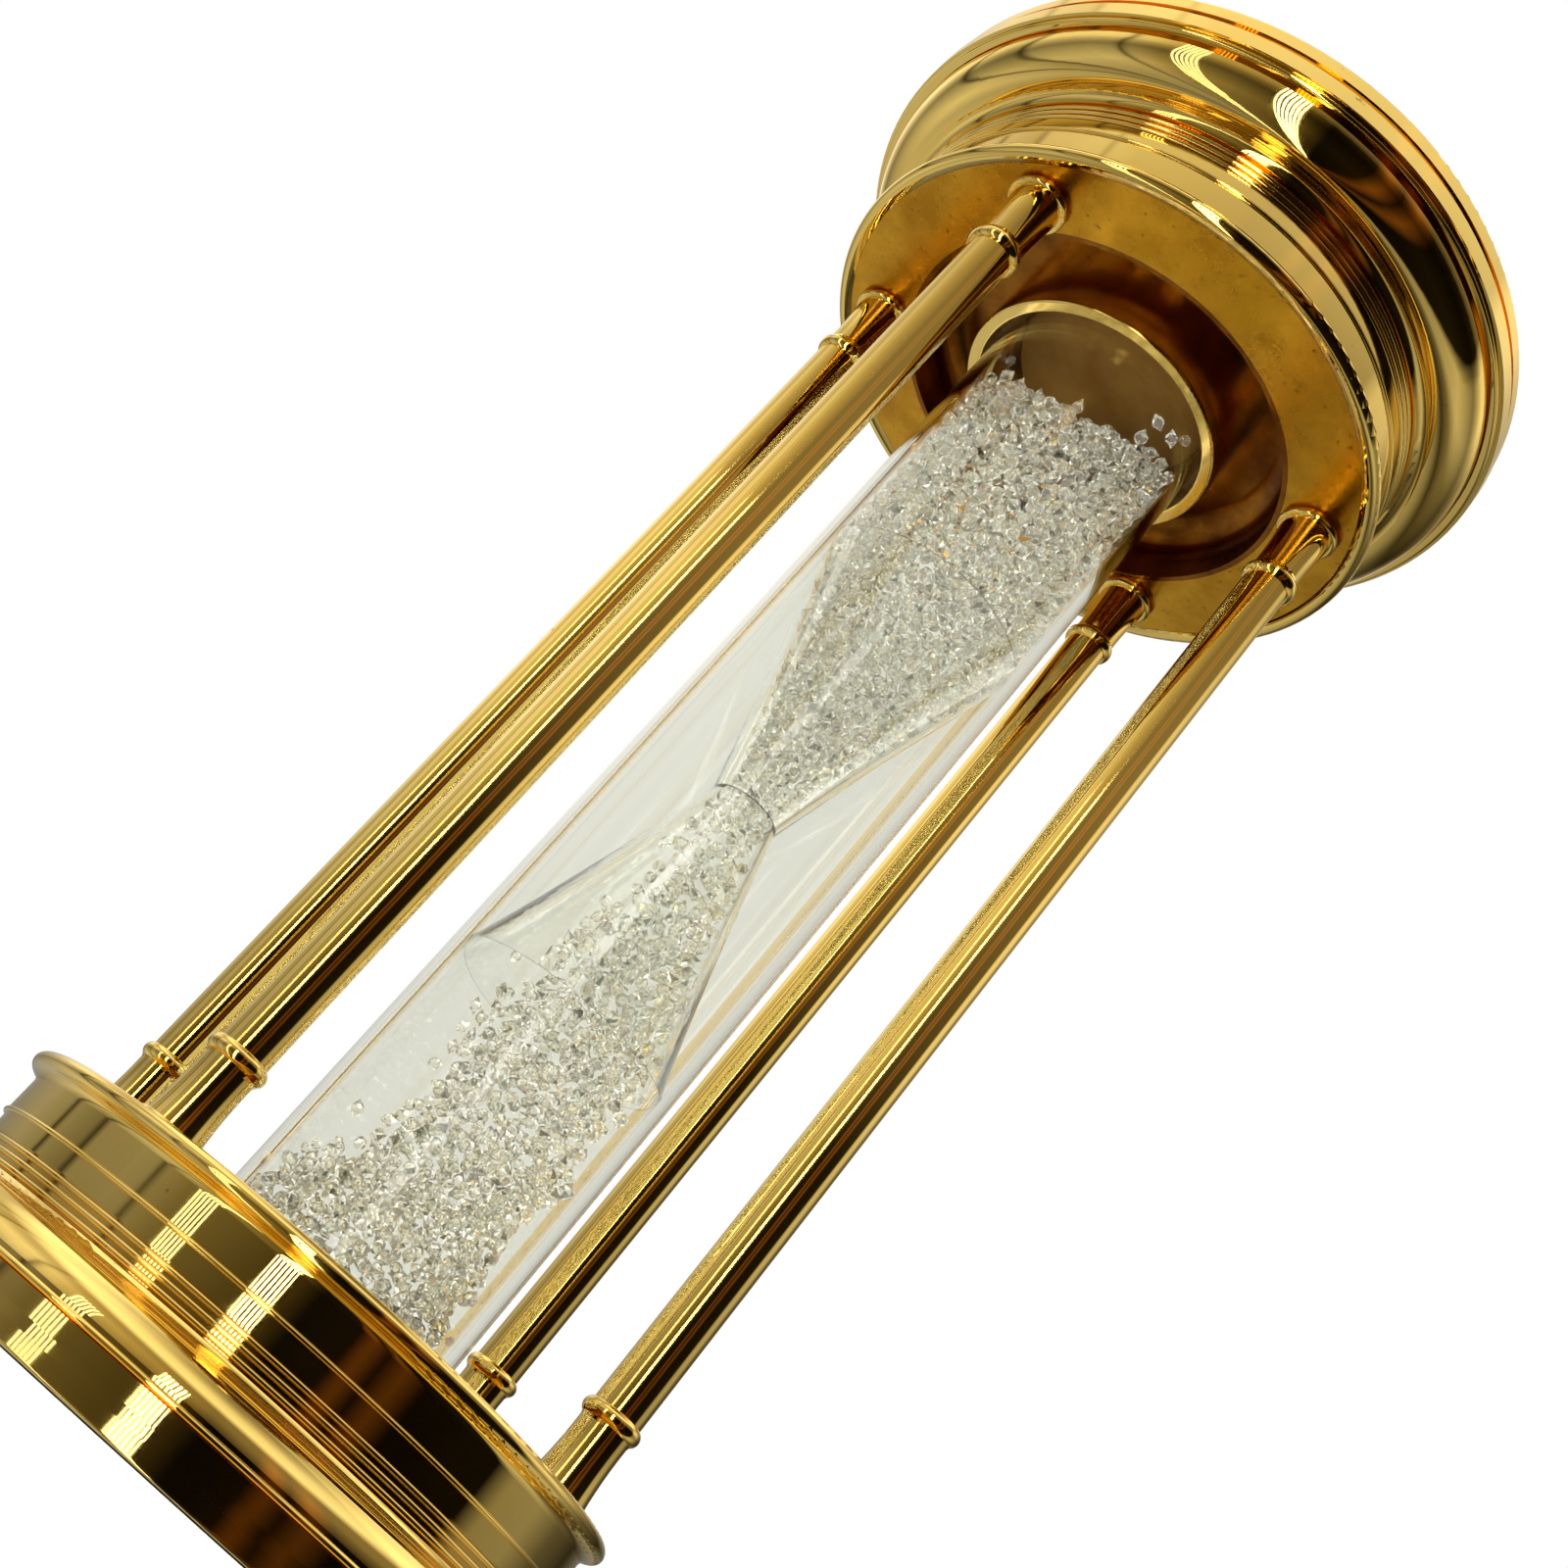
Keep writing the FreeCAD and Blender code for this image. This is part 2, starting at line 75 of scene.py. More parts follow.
class Shader:
    """Short names for building one node material."""

    def __init__(self, name, world=None):
        self.material = world or bpy.data.materials.new(name)
        self.material.use_nodes = True
        self.tree = self.material.node_tree
        self.tree.nodes.clear()
        self.output = self.add("ShaderNodeOutputWorld" if world else "ShaderNodeOutputMaterial")

    def add(self, kind, **settings):
        node = self.tree.nodes.new(kind)
        for key, value in settings.items():
            setattr(node, key, value)
        return node

    def link(self, source, target):
        self.tree.links.new(source, target)

    def feed(self, socket, value):
        """Set a number or a colour on a socket, or link another node's output to it."""
        if isinstance(value, (int, float)):
            socket.default_value = value
        elif isinstance(value, tuple):
            socket.default_value = (*value, 1.0)
        else:
            self.link(value, socket)

    def place(self, scale=(1, 1, 1)):
        """Object position times a scale; the objects sit at the origin, so this is the CAD frame."""
        coords = self.add("ShaderNodeTexCoord")
        mapping = self.add("ShaderNodeMapping")
        mapping.inputs["Scale"].default_value = scale
        self.link(coords.outputs["Object"], mapping.inputs["Vector"])
        return mapping.outputs["Vector"]

    def lathe_place(self, scale):
        """Vector of (radius, height) from the turning axis, so that a texture runs round it."""
        coords = self.add("ShaderNodeTexCoord")
        split = self.add("ShaderNodeSeparateXYZ")
        self.link(coords.outputs["Object"], split.inputs[0])
        flat = self.add("ShaderNodeCombineXYZ")
        self.link(split.outputs["X"], flat.inputs["X"])
        self.link(split.outputs["Y"], flat.inputs["Y"])
        length = self.add("ShaderNodeVectorMath", operation="LENGTH")
        self.link(flat.outputs[0], length.inputs[0])
        radius = self.math("MULTIPLY", length.outputs["Value"], scale)
        height = self.math("MULTIPLY", split.outputs["Z"], scale)
        joined = self.add("ShaderNodeCombineXYZ")
        self.link(radius, joined.inputs["X"])
        self.link(height, joined.inputs["Y"])
        return joined.outputs[0]

    def math(self, operation, first, second=0.0):
        node = self.add("ShaderNodeMath", operation=operation)
        for socket, value in zip(node.inputs, (first, second)):
            self.feed(socket, value)
        return node.outputs[0]

    def noise(self, vector, scale, detail=4.0, roughness=0.55):
        node = self.add("ShaderNodeTexNoise")
        node.inputs["Scale"].default_value = scale
        node.inputs["Detail"].default_value = detail
        node.inputs["Roughness"].default_value = roughness
        self.link(vector, node.inputs["Vector"])
        return node.outputs["Fac"]

    def ramp(self, value, *stops):
        node = self.add("ShaderNodeValToRGB")
        elements = node.color_ramp.elements
        while len(elements) < len(stops):
            elements.new(0.5)
        for element, (position, color) in zip(elements, stops):
            element.position = position
            element.color = (*color, 1.0)
        self.link(value, node.inputs["Fac"])
        return node.outputs["Color"]

    def bright_ramp(self, value, stops):
        """A ramp of colours above one: scaled down to fit a ramp, and back up after it."""
        brightest = max(max(color) for _, color in stops)
        scaled = [(position, tuple(part / brightest for part in color)) for position, color in stops]
        return self.mix(1.0, self.ramp(value, *scaled), (brightest,) * 3, "MULTIPLY")

    def mix(self, factor, first, second, blend="MIX"):
        node = self.add("ShaderNodeMix", data_type="RGBA", blend_type=blend)
        colours = [socket for socket in node.inputs if socket.type == "RGBA"]
        for socket, value in zip([node.inputs[0]] + colours, (factor, first, second)):
            self.feed(socket, value)
        return next(socket for socket in node.outputs if socket.type == "RGBA")

    def remap(self, value, low, high, out_low, out_high):
        node = self.add("ShaderNodeMapRange")
        for index, number in enumerate((low, high, out_low, out_high), 1):
            node.inputs[index].default_value = number
        self.link(value, node.inputs[0])
        return node.outputs[0]

    def bump(self, height, strength, distance, before=None):
        node = self.add("ShaderNodeBump")
        node.inputs["Strength"].default_value = strength
        node.inputs["Distance"].default_value = distance
        self.link(height, node.inputs["Height"])
        if before is not None:
            self.link(before, node.inputs["Normal"])
        return node.outputs["Normal"]

    def principled(self, **values):
        node = self.add("ShaderNodeBsdfPrincipled")
        for key, value in values.items():
            self.feed(node.inputs[key.replace("_", " ")], value)
        self.link(node.outputs[0], self.output.inputs["Surface"])


# ---------------------------------------------------------------- materials
# Noise scales are in cycles per metre and bump distances in metres.

BRASS = (0.90, 0.65, 0.19)
BRASS_DEEP = (0.80, 0.52, 0.11)
TARNISH = (0.10, 0.045, 0.01)
SMEAR_ROUGHNESS = 0.06
WORN_ROUGHNESS = 0.08


def polished_brass(name, rough=0.02, turned=True):
    """Buffed and lacquered brass: faint turning lines, cloudy tone, a few dark pits."""
    s = Shader(name)
    clouds = s.noise(s.place(), 38.0, detail=5.0)
    tone = s.ramp(clouds, (0.30, BRASS_DEEP), (0.62, BRASS))
    tone = s.mix(0.35, BRASS, tone)
    pits = s.noise(s.place(), 620.0, detail=2.0)
    pitted = s.remap(pits, 0.70, 0.76, 0.0, 0.75)
    patches = s.noise(s.place(), 55.0, detail=3.0)
    patched = s.remap(patches, 0.58, 0.70, 0.0, 1.0)
    dirt = s.math("MULTIPLY", pitted, patched)
    color = s.mix(dirt, tone, TARNISH)
    marks = s.lathe_place(1800.0) if turned else s.place((900.0, 900.0, 12.0))
    lines = s.noise(marks, 1.0, detail=3.0, roughness=0.6)
    smears = s.noise(s.place((1, 1, 0.35)), 210.0)
    roughness = s.remap(smears, 0.35, 0.75, rough, rough + SMEAR_ROUGHNESS)
    normal = s.bump(lines, strength=0.02, distance=0.00001)
    normal = s.bump(clouds, strength=0.02, distance=0.0006, before=normal)
    s.principled(Base_Color=color, Metallic=1.0, Roughness=roughness, Normal=normal)
    return s.material


def satin_brass(name, light, dark, rough):
    """Unbuffed brass: soft turning marks, brown stains and small pits."""
    s = Shader(name)
    clouds = s.noise(s.place(), 95.0, detail=6.0, roughness=0.65)
    tone = s.ramp(clouds, (0.36, dark), (0.60, light))
    grain = s.noise(s.place(), 900.0, detail=3.0)
    speck = s.remap(grain, 0.64, 0.72, 0.0, 0.55)
    color = s.mix(speck, tone, TARNISH)
    lines = s.noise(s.lathe_place(1500.0), 1.0, detail=4.0, roughness=0.7)
    roughness = s.remap(clouds, 0.3, 0.7, rough + WORN_ROUGHNESS, rough)
    normal = s.bump(lines, strength=0.10, distance=0.00004)
    normal = s.bump(grain, strength=0.05, distance=0.00006, before=normal)
    s.principled(Base_Color=color, Metallic=1.0, Roughness=roughness, Normal=normal)
    return s.material


def clear_glass(name):
    """Drawn glass: clear, with the faint waviness of a tube."""
    s = Shader(name)
    waves = s.noise(s.place((1, 1, 0.12)), 70.0, detail=2.0)
    normal = s.bump(waves, strength=0.03, distance=0.0004)
    dust = s.noise(s.place(), 480.0)
    roughness = s.remap(dust, 0.55, 0.8, 0.0, 0.008)
    s.principled(Base_Color=(0.975, 0.98, 0.965), Roughness=roughness, IOR=1.47,
                 Transmission_Weight=1.0, Normal=normal)
    return s.material


def frosted_glass(name):
    """Ground disc with the seal's brown showing through it."""
    s = Shader(name)
    cloud = s.noise(s.place(), 160.0)
    tone = s.ramp(cloud, (0.3, (0.42, 0.20, 0.035)), (0.7, (0.60, 0.32, 0.07)))
    s.principled(Base_Color=tone, Roughness=0.55, IOR=1.30, Transmission_Weight=0.25,
                 Normal=s.bump(cloud, strength=0.05, distance=0.0001))
    return s.material


def crystal(name):
    """Cut crystal: clear, with its own tone in each grain and one facet in twenty painted dark as
    painted shade.
    """
    s = Shader(name)
    geometry = s.add("ShaderNodeNewGeometry")
    grain = geometry.outputs["Random Per Island"]
    tone = s.ramp(grain, (0.0, (0.93, 0.92, 0.82)), (0.5, (0.98, 0.975, 0.91)),
                  (0.9, (1.0, 1.0, 0.97)))
    facet = s.add("ShaderNodeTexWhiteNoise", noise_dimensions="4D")
    s.link(geometry.outputs["True Normal"], facet.inputs["Vector"])
    s.link(grain, facet.inputs["W"])
    # Painted shade: one facet in twenty is painted dark. This stands in for the dark that cut facets
    # show where they bend light from darker surroundings.
    painted_facet_shade = s.ramp(facet.outputs["Value"], (0.0, (0.10, 0.10, 0.08)), (0.05, (0.10, 0.10, 0.08)),
                   (0.06, (0.84, 0.83, 0.78)), (0.30, (0.95, 0.945, 0.92)), (0.60, (1.0, 1.0, 1.0)))
    color = s.mix(1.0, tone, painted_facet_shade, "MULTIPLY")
    flaws = s.noise(s.place(), 900.0, detail=2.0)
    roughness = s.remap(flaws, 0.5, 0.8, 0.0, 0.06)
    s.principled(Base_Color=color, Roughness=roughness, IOR=1.52, Transmission_Weight=0.92)
    return s.material


def felt(name):
    """Dark green felt with a little sheen."""
    s = Shader(name)
    fibres = s.noise(s.place(), 1500.0, detail=6.0, roughness=0.8)
    tone = s.ramp(fibres, (0.3, (0.004, 0.022, 0.011)), (0.7, (0.013, 0.065, 0.032)))
    normal = s.bump(fibres, strength=0.6, distance=0.0003)
    s.principled(Base_Color=tone, Roughness=0.95, Sheen_Weight=0.15, Normal=normal)
    return s.material


def rubber(name):
    """Tan rubber of the glass seats."""
    s = Shader(name)
    grain = s.noise(s.place(), 1200.0)
    tone = s.ramp(grain, (0.3, (0.16, 0.085, 0.02)), (0.7, (0.30, 0.17, 0.05)))
    s.principled(Base_Color=tone, Roughness=0.6,
                 Normal=s.bump(grain, strength=0.2, distance=0.0001))
    return s.material


def plated_steel(name):
    """Dull plating of the nuts and washers."""
    s = Shader(name)
    grain = s.noise(s.place(), 800.0)
    tone = s.ramp(grain, (0.3, (0.42, 0.42, 0.41)), (0.7, (0.66, 0.66, 0.64)))
    roughness = s.remap(grain, 0.3, 0.7, 0.22, 0.38)
    s.principled(Base_Color=tone, Metallic=1.0, Roughness=roughness,
                 Normal=s.bump(grain, strength=0.1, distance=0.0001))
    return s.material


def dress_cad():
    """Give every CAD node its finished material, by a part of the node's name."""
    finishes = {
        "cap_shell": polished_brass("shell_brass"),
        "end_cover": polished_brass("cover_brass"),
        "collar": polished_brass("collar_brass", 0.12),
        "ferrule": polished_brass("ferrule_brass", turned=False),
        "post_rod": polished_brass("rod_brass", 0.035, turned=False),
        "deck_plate": satin_brass("deck_brass", (0.66, 0.34, 0.025), (0.48, 0.22, 0.010), 0.22),
        # Painted shade: the cup's very dark brown colours stand in for the shade and dark
        # inter-reflections in the recessed channel round the collar.
        "glass_cup": satin_brass("cup_brass", (0.30, 0.115, 0.012), (0.13, 0.04, 0.005), 0.17),
        "glass_tube": clear_glass("tube_glass"),
        "funnel": clear_glass("funnel_glass"),
        "glass_end_disc": frosted_glass("disc_glass"),
        "glass_gasket": rubber("gasket_rubber"),
        "felt_pad": felt("green_felt"),
        "post_nuts": plated_steel("nut_steel"),
        "post_washers": plated_steel("washer_steel"),
    }
    for node in NODES:
        for key, material in finishes.items():
            if key in node:
                mesh = NODES[node].data
                mesh.materials.clear()
                mesh.materials.append(material)
                break


dress_cad()


# ---------------------------------------------------------------- crystals

# Lengths here are in millimetres, and heights are distances from the waist.

WAIST = HALF_HEIGHT / MM
CHARGE_GAP = 0.4
CHARGE_LOW, CHARGE_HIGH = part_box("upper_crystals")
BORE = (CHARGE_HIGH.x - CHARGE_LOW.x) / 2 / MM + CHARGE_GAP
NECK = 4.3
CONE_CURVE = (0.2252, 0.00172)
CONE_LENGTH = 39.0
BULB_END = 90.4
LOWEST_GRAIN = 0.6
WALL_GAP = 0.95

GRAIN_R = 0.86
GRAIN_TIP = 1.35
GRAIN_GIRDLE = 0.28
GRAIN_SIZES = (0.88, 1.08)
CORNER_REACH = (0.93, 1.04)
GIRDLE_TWIST = 15
# A grain this near the glass lies flat against it
FLAT_WITHIN = 2.0
ON_AXIS = 0.5

SEED = 11
TRIES = 90000
UPPER_SPACING = 1.72
LOWER_SPACING = 2.05
# Grains are left out where more than this thickness of others hides them
SKIN = 3.4

# The upper charge's free surface is a slope
UPPER_SURFACE = 81.0
UPPER_RISE = 0.66
UPPER_RISE_AZIMUTH = math.radians(52)
UPPER_RAGGED = 1.6

# The lower charge lies on one side: distances of its free face from the axis, and the heights
# where each ends
SLIDE_AZIMUTH = math.radians(210)
SLIDE_RAGGED = 1.8
CONE_FACE_START = 4
CONE_FACE = 5.2
CONE_FACE_SLOPE = -0.47
CONE_FACE_END = 14
UPPER_FACE = 0.5
UPPER_FACE_END = 30
MIDDLE_FACE = -1.2
HEAP_TOP = 64
HEAP_SLOPE = 1.25
# It also leaves a clear strip along the glass, in this direction
CLEAR_AZIMUTH = math.radians(-15)
CLEAR_REACH = 12.0
CLEAR_RAGGED = 1.6


def bulb_radius(height):
    """Inside radius of either bulb at a height."""
    if height > CONE_LENGTH:
        return BORE
    return NECK + CONE_CURVE[0] * height + CONE_CURVE[1] * height * height


def ragged(x, y, height, size):
    """Smooth unevenness of a free surface."""
    return size * (math.sin(0.9 * x + 0.35 * height) + math.sin(1.1 * y - 0.52 * height + 1.3)) / 2


def reach(x, y, azimuth):
    """How far a place lies from the axis in a direction."""
    return x * math.cos(azimuth) + y * math.sin(azimuth)


def in_upper_charge(x, y, height):
    slope = UPPER_RISE * reach(x, y, UPPER_RISE_AZIMUTH)
    surface = UPPER_SURFACE + slope + ragged(x, y, 0, UPPER_RAGGED)
    return height < min(surface, BULB_END - WALL_GAP)


def in_lower_charge(x, y, height):
    if reach(x, y, CLEAR_AZIMUTH) + ragged(x, y, height, CLEAR_RAGGED) > CLEAR_REACH:
        return False
    away = reach(x, y, SLIDE_AZIMUTH) + ragged(x, y, height, SLIDE_RAGGED)
    if height < CONE_FACE_END:
        return away < CONE_FACE + CONE_FACE_SLOPE * (height - CONE_FACE_START)
    if height < UPPER_FACE_END:
        return away < UPPER_FACE
    if height < HEAP_TOP:
        return away < MIDDLE_FACE
    return away < MIDDLE_FACE + HEAP_SLOPE * (height - HEAP_TOP) and height < BULB_END - WALL_GAP


def buried(belongs, x, y, height, depth):
    """Whether a place lies so far inside a charge that nobody can see it."""
    if depth < SKIN or not belongs(x, y, height + SKIN):
        return False
    return all(belongs(x + SKIN * math.cos(azimuth), y + SKIN * math.sin(azimuth), height)
               for azimuth in (SLIDE_AZIMUTH, CLEAR_AZIMUTH))


def scatter(belongs, spacing, rng):
    """Grain centres near a charge's faces that keep their distance from each other and the glass."""
    taken = {}
    centres = []
    for _ in range(TRIES):
        height = rng.uniform(LOWEST_GRAIN, BULB_END)
        limit = bulb_radius(height) - WALL_GAP
        angle = rng.uniform(0, 2 * math.pi)
        radius = BORE * math.sqrt(rng.random())
        if radius > limit:
            continue
        x, y = radius * math.cos(angle), radius * math.sin(angle)
        if not belongs(x, y, height) or buried(belongs, x, y, height, limit - radius):
            continue
        cell = tuple(int(math.floor(value / spacing)) for value in (x, y, height))
        near = (taken.get((cell[0] + i, cell[1] + j, cell[2] + k), ())
                for i in (-1, 0, 1) for j in (-1, 0, 1) for k in (-1, 0, 1))
        spot = Vector((x, y, height))
        if any((spot - other).length_squared < spacing ** 2
               for group in near for other in group):
            continue
        taken.setdefault(cell, []).append(spot)
        centres.append(spot)
    return centres


def grain_points(rng):
    """Corners of one cut grain: two tips and two six-sided girdles."""
    size = rng.uniform(*GRAIN_SIZES)
    radius = GRAIN_R * size
    points = [Vector((0, 0, -GRAIN_TIP * size)), Vector((0, 0, GRAIN_TIP * size))]
    for level in (-1, 1):
        for index in range(6):
            angle = math.radians(60 * index + GIRDLE_TWIST * level)
            length = radius * rng.uniform(*CORNER_REACH)
            points.append(Vector((length * math.cos(angle), length * math.sin(angle),
                                  level * GRAIN_GIRDLE * size)))
    return points


GRAIN_FACES = ([(0, 2 + (i + 1) % 6, 2 + i) for i in range(6)]
               + [(2 + i, 2 + (i + 1) % 6, 8 + i) for i in range(6)]
               + [(2 + (i + 1) % 6, 8 + (i + 1) % 6, 8 + i) for i in range(6)]
               + [(1, 8 + i, 8 + (i + 1) % 6) for i in range(6)])


def grain_turn(spot, rng):
    """A grain at the wall lies flat against it; one inside lies anyhow."""
    radius = math.hypot(spot.x, spot.y)
    if bulb_radius(spot.z) - radius < FLAT_WITHIN and radius > ON_AXIS:
        outward = Vector((spot.x, spot.y, 0)).normalized()
        tangent = outward.cross(Vector((0, 0, 1)))
        angle = rng.uniform(0, math.pi)
        axis = tangent * math.cos(angle) + Vector((0, 0, 1)) * math.sin(angle)
    else:
        axis = Vector([rng.gauss(0, 1) for _ in range(3)])
    spin = Matrix.Rotation(rng.uniform(0, math.pi), 3, "Z")
    return axis.normalized().to_track_quat("Z", "Y").to_matrix() @ spin


def crystal_piece(name, centres, upside, material, rng):
    """One mesh of many separate grains, above the waist (upside 1) or below it (-1)."""
    vertices, faces = [], []
    for spot in centres:
        turn = grain_turn(spot, rng)
        first = len(vertices)
        for point in grain_points(rng):
            place = turn @ point + spot
            vertices.append((place.x * MM, place.y * MM, (WAIST + upside * place.z) * MM))
        faces.extend(tuple(first + index for index in face[::upside]) for face in GRAIN_FACES)
    mesh = bpy.data.meshes.new(name)
    mesh.from_pydata(vertices, [], faces)
    mesh.materials.append(material)
    piece = bpy.data.objects.new(name, mesh)
    bpy.context.scene.collection.objects.link(piece)
    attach(piece, "frame")
    return piece


# Single grains that cling to the glass: (azimuth in degrees, height)
UPPER_STRAYS = ((-74, 80.3), (-60, 81.6), (-76, 76.3), (-50, 84.5), (150, 86.0))
LOWER_STRAYS = ((129, 33.2), (114, 37.2), (89, 57.8), (107, 57.9), (82, 54.4), (112, 24.7),
                (118, 41.0), (101, 52.0), (126, 66.5), (139, 69.0), (96, 61.5), (133, 62.0))


def clinging(strays):
    """Centres of the single grains, against the glass."""
    spots = []
    for azimuth, height in strays:
        radius = bulb_radius(height) - WALL_GAP
        angle = math.radians(azimuth)
        spots.append(Vector((radius * math.cos(angle), radius * math.sin(angle), height)))
    return spots


def crystals():
    """Loose grains that stand for the two CAD charges, and those that cling to the glass."""
    rng = random.Random(SEED)
    material = crystal("crystal")
    centres = scatter(in_upper_charge, UPPER_SPACING, rng)
    upper = crystal_piece("upper_charge", centres, 1, material, rng)
    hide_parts("upper_crystals")
    centres = scatter(in_lower_charge, LOWER_SPACING, rng)
    lower = crystal_piece("lower_charge", centres, -1, material, rng)
    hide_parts("lower_crystals")
    crystal_piece("upper_strays", clinging(UPPER_STRAYS), 1, material, rng)
    crystal_piece("lower_strays", clinging(LOWER_STRAYS), -1, material, rng)


crystals()


# ---------------------------------------------------------------- stage, light and camera

FLOOR_REACH = 6.0

LENS = 44.4
SHIFT = (0.157, 0.060)
# Direction the camera looks in, and its roll, in degrees
CAMERA_TURN = (78.40, 19.12, 42.10)
CAMERA_SPOT = (-0.0611, -0.2262, 0.0033)


def floor():
    """A plain pale floor that stays out of the mirrors."""
    mesh = bpy.data.meshes.new("studio_floor")
    corners = [(x * FLOOR_REACH, y * FLOOR_REACH, 0) for x, y in ((-1, -1), (1, -1), (1, 1), (-1, 1))]
    mesh.from_pydata(corners, [], [(0, 1, 2, 3)])
    piece = bpy.data.objects.new("studio_floor", mesh)
    bpy.context.scene.collection.objects.link(piece)
    s = Shader("studio_floor")
    grain = s.noise(s.place(), 40.0, detail=3.0)
    s.principled(Base_Color=s.ramp(grain, (0.3, (0.88, 0.88, 0.88)), (0.7, (0.91, 0.91, 0.91))),
                 Roughness=0.9)
    mesh.materials.append(s.material)
    piece.visible_glossy = False


def camera():
    """Close to the lower cap, looking up along the posts, and rolled."""
    data = bpy.data.cameras.new("camera")
    data.lens = LENS
    data.shift_x, data.shift_y = SHIFT
    data.clip_start = 0.01
    piece = bpy.data.objects.new("camera", data)
    bpy.context.scene.collection.objects.link(piece)
    bpy.context.scene.camera = piece
    azimuth, elevation, roll = (math.radians(angle) for angle in CAMERA_TURN)
    forward = Vector((math.cos(azimuth) * math.cos(elevation),
                      math.sin(azimuth) * math.cos(elevation), math.sin(elevation)))
    level = forward.cross(Vector((0, 0, 1))).normalized()
    upright = level.cross(forward)
    right = level * math.cos(roll) + upright * math.sin(roll)
    up = right.cross(forward)
    turn = Matrix((right, up, -forward)).transposed().to_4x4()
    piece.matrix_world = Matrix.Translation(CAMERA_SPOT) @ turn


def area_light(name, azimuth, height, away, size, power):
    """A soft square at an azimuth, aimed at the middle of the object."""
    data = bpy.data.lights.new(name, "AREA")
    data.shape = "RECTANGLE"
    data.size = size
    data.size_y = size
    data.energy = power
    piece = bpy.data.objects.new(name, data)
    bpy.context.scene.collection.objects.link(piece)
    angle = math.radians(azimuth)
    spot = Vector((away * math.cos(angle), away * math.sin(angle), height))
    piece.location = spot
    aim = Vector((0, 0, HALF_HEIGHT)) - spot
    piece.rotation_mode = "QUATERNION"
    piece.rotation_quaternion = aim.to_track_quat("-Z", "Z")
    return piece


# Colour of the room that polished metal mirrors, by azimuth in degrees
ROOM = (
    (-180, (0.95, 0.94, 0.88)), (-172, (0.85, 0.83, 0.76)), (-170, (0.20, 0.18, 0.13)),
    (-168, (0.80, 0.77, 0.68)), (-164, (0.75, 0.70, 0.56)), (-158, (0.55, 0.49, 0.32)),
    (-144, (0.42, 0.36, 0.20)), (-130, (0.28, 0.23, 0.12)), (-112, (0.12, 0.09, 0.04)),
    (-106, (0.012, 0.01, 0.008)), (-90, (0.02, 0.012, 0.006)),
    (-85, (0.30, 0.11, 0.02)), (-79, (0.02, 0.01, 0.005)), (-72, (0.26, 0.10, 0.02)),
    (-64, (0.012, 0.008, 0.004)), (-28, (0.02, 0.015, 0.01)), (-19, (0.85, 0.81, 0.68)),
    (-2, (0.90, 0.88, 0.78)), (14, (0.32, 0.30, 0.23)), (34, (0.09, 0.08, 0.05)),
    (58, (0.6, 0.59, 0.53)), (84, (1.0, 0.99, 0.92)), (104, (0.85, 0.83, 0.74)),
    (126, (1.15, 1.13, 1.0)), (140, (0.9, 0.89, 0.8)), (142, (0.15, 0.12, 0.08)),
    (145, (0.9, 0.89, 0.8)), (158, (0.6, 0.58, 0.5)), (160, (0.08, 0.07, 0.05)),
    (163, (0.9, 0.89, 0.84)),
)
# Share of it by the sine of the height above the horizon; the floor isn't in the mirrors
ROOM_HEIGHTS = ((0.0, 0.32), (0.22, 0.70), (0.47, 0.34), (0.5, 0.28), (0.545, 0.34), (0.62, 0.62),
                (0.69, 1.0), (0.74, 1.0), (0.81, 0.50), (1.0, 0.30))
# Light from the ceiling, on the same scale of heights
CEILING = ((0.66, (0.0, 0.0, 0.0)), (0.76, (0.24, 0.20, 0.13)), (0.84, (0.27, 0.23, 0.15)),
           (0.90, (1.3, 1.28, 1.18)), (0.95, (1.0, 0.98, 0.90)), (1.0, (0.25, 0.24, 0.20)))
# Slatted windows: (azimuth, power), with their half width and pitch in degrees
SLAT_BANKS = ((-151, 3.5), (-119, 9.0))
SLAT_REACH = 4.3
SLAT_PITCH = 1.43
SLAT_SHARE = 0.56
SLAT_TINT = (1.0, 0.99, 0.94)
SLAT_TOP = 0.76
# Plain lights of the world: for the eye, through glass, for scattered rays, and for rays that
# scattered and left through glass
SEEN_LIGHT = (1.0, 1.0, 1.0)
THROUGH_DIM = (0.68, 0.68, 0.60)
THROUGH_PALE = (0.90, 0.90, 0.81)
THROUGH_NOISE = 2.4
FILL_LIGHT = (1.1, 1.1, 1.07)
CHARGE_LIGHT = (3.4, 3.3, 2.7)
# Tones that cut facets pick up away from the pale background, by the value of a noise
FACET_TONES = ((0.39, (0.06, 0.06, 0.045)), (0.44, (0.66, 0.645, 0.50)),
               (0.56, (0.88, 0.865, 0.70)), (0.60, (3.7, 3.65, 3.3)))
FACET_NOISE = 3.2
# They leave a plain window around this azimuth and height, which fades over these distances
CLEAR_WAY = 80.0
CLEAR_WAY_EDGE = (42.0, 56.0)
CLEAR_RISE = 0.64
CLEAR_RISE_EDGE = (0.20, 0.28)
# Transmission depths: the most for a mirror reflection, and the least for the facet tones; and
# the least diffuse depth of light that scattered
MIRROR_DEPTH = 2.5
FACET_DEPTH = 4.5
SCATTER_DEPTH = 0.5


# Soft boxes: name, azimuth in degrees, height, distance from the axis, size, power
LIGHTS = (("key_left", 190, 0.60, 0.9, 0.6, 9.0),
          ("fill_right", -20, 0.50, 1.0, 0.6, 5.0),
          ("top_soft", -100, 1.20, 0.5, 0.8, 9.0))


def background(s, color):
    node = s.add("ShaderNodeBackground")
    s.feed(node.inputs["Color"], color)
    return node.outputs[0]


def choose(s, factor, otherwise, chosen):
    """One of two backgrounds: the chosen one where the factor is 1."""
    node = s.add("ShaderNodeMixShader")
    s.link(factor, node.inputs[0])
    s.link(otherwise, node.inputs[1])
    s.link(chosen, node.inputs[2])
    return node.outputs[0]


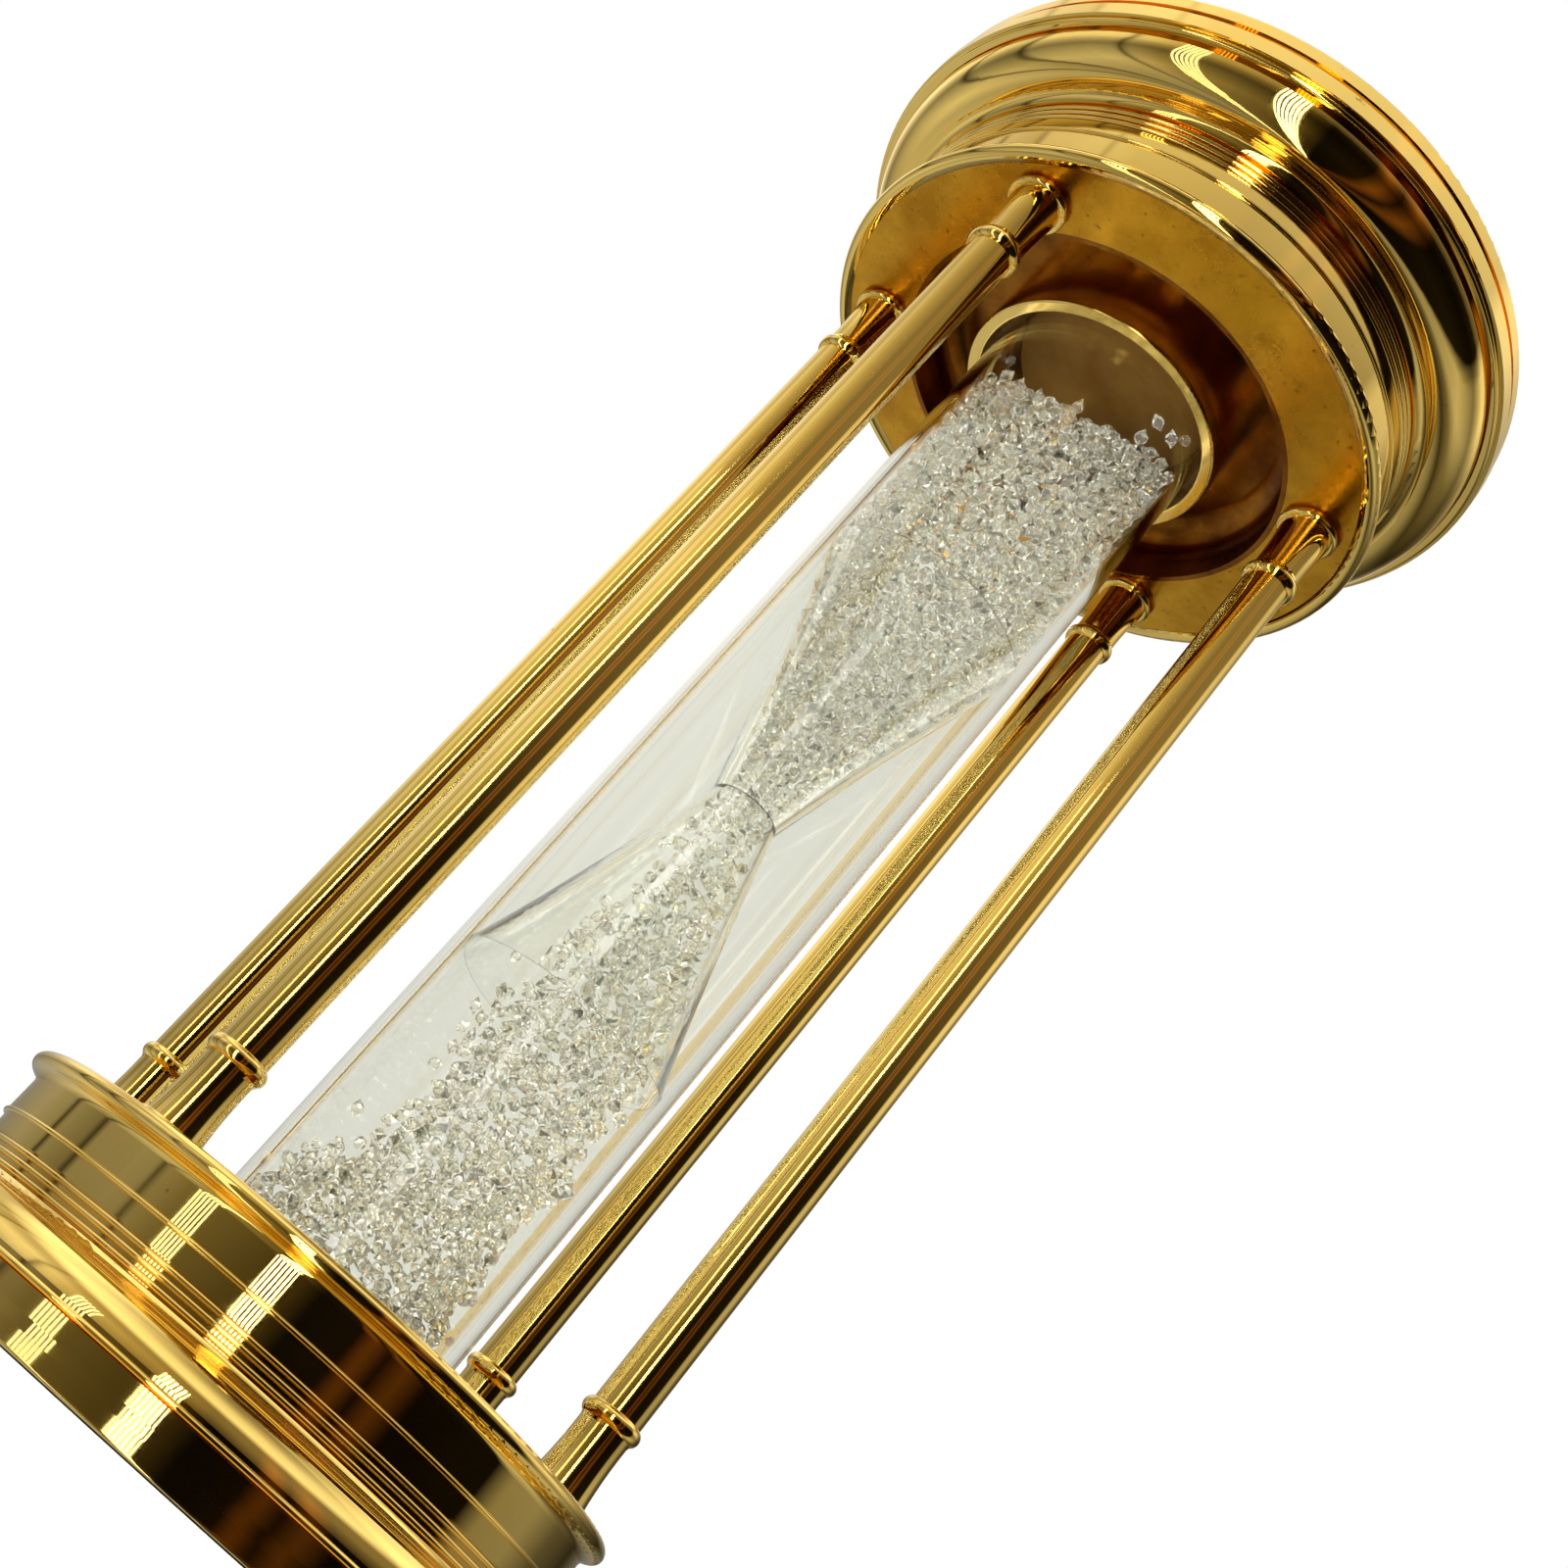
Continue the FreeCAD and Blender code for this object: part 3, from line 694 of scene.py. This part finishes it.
def mirrored_room(s, degrees, rise):
    """What metal mirrors: walls by azimuth, a pale ceiling and two banks of slatted windows."""
    around = s.remap(degrees, -180.0, 180.0, 0.0, 1.0)
    room = s.bright_ramp(around, [((angle + 180) / 360, color) for angle, color in ROOM])
    shares = s.ramp(rise, *((place, (share, share, share)) for place, share in ROOM_HEIGHTS))
    room = s.mix(1.0, room, shares, "MULTIPLY")
    room = s.mix(1.0, room, s.ramp(rise, *CEILING), "ADD")
    wave = s.math("FRACT", s.math("DIVIDE", degrees, SLAT_PITCH))
    slat = s.math("GREATER_THAN", wave, SLAT_SHARE)
    slat = s.math("MULTIPLY", slat, s.math("LESS_THAN", rise, SLAT_TOP))
    for bank, power in SLAT_BANKS:
        away = s.math("ABSOLUTE", s.math("SUBTRACT", degrees, float(bank)))
        inside = s.math("MULTIPLY", s.math("LESS_THAN", away, SLAT_REACH), slat)
        room = s.mix(inside, room, tuple(part * power for part in SLAT_TINT))
    return room


def facet_room(s, direction, degrees, rise, plain):
    """What rays bent by cut facets meet: dark and bright patches beside the pale background."""
    patches = s.noise(direction, FACET_NOISE, detail=1.0)
    tones = s.bright_ramp(patches, FACET_TONES)
    side = s.math("ABSOLUTE", s.math("SUBTRACT", degrees, CLEAR_WAY))
    side = s.remap(side, *CLEAR_WAY_EDGE, 0.0, 1.0)
    high = s.math("ABSOLUTE", s.math("SUBTRACT", rise, CLEAR_RISE))
    high = s.remap(high, *CLEAR_RISE_EDGE, 0.0, 1.0)
    return s.mix(s.math("MAXIMUM", side, high), plain, tones)


def world():
    """White for the eye, a room for mirror reflections, and pale light through the glass."""
    s = Shader("studio", bpy.data.worlds.new("studio"))
    bpy.context.scene.world = s.material
    direction = s.add("ShaderNodeTexCoord").outputs["Generated"]
    split = s.add("ShaderNodeSeparateXYZ")
    s.link(direction, split.inputs[0])
    degrees = s.math("DEGREES", s.math("ARCTAN2", split.outputs["Y"], split.outputs["X"]))
    rise = s.remap(split.outputs["Z"], -1.0, 1.0, 0.0, 1.0)
    through = s.mix(s.noise(direction, THROUGH_NOISE, detail=1.0), THROUGH_DIM, THROUGH_PALE)
    path = s.add("ShaderNodeLightPath")
    depth = path.outputs["Transmission Depth"]
    mirrored = s.math("MULTIPLY", path.outputs["Is Glossy Ray"], path.outputs["Is Reflection Ray"])
    mirrored = s.math("MULTIPLY", mirrored, s.math("LESS_THAN", depth, MIRROR_DEPTH))
    unseen = s.math("SUBTRACT", 1.0, path.outputs["Is Camera Ray"])
    scattered = s.math("GREATER_THAN", path.outputs["Diffuse Depth"], SCATTER_DEPTH)
    scattered = s.math("MULTIPLY", scattered, path.outputs["Is Transmission Ray"])
    whole = choose(s, unseen, background(s, SEEN_LIGHT), background(s, through))
    facets = background(s, facet_room(s, direction, degrees, rise, through))
    whole = choose(s, s.math("GREATER_THAN", depth, FACET_DEPTH), whole, facets)
    whole = choose(s, scattered, whole, background(s, CHARGE_LIGHT))
    whole = choose(s, path.outputs["Is Diffuse Ray"], whole, background(s, FILL_LIGHT))
    whole = choose(s, mirrored, whole, background(s, mirrored_room(s, degrees, rise)))
    s.link(whole, s.output.inputs["Surface"])


def lights():
    """Big soft boxes that light the floor, the felt and the crystals."""
    for row in LIGHTS:
        piece = area_light(*row)
        piece.visible_glossy = False
        piece.visible_transmission = False


floor()
camera()
world()
lights()

bpy.context.scene.view_settings.view_transform = "Standard"
cycles = bpy.context.scene.cycles
cycles.use_denoising = True
cycles.max_bounces = 28
cycles.transmission_bounces = 24
cycles.glossy_bounces = 10
cycles.diffuse_bounces = 6
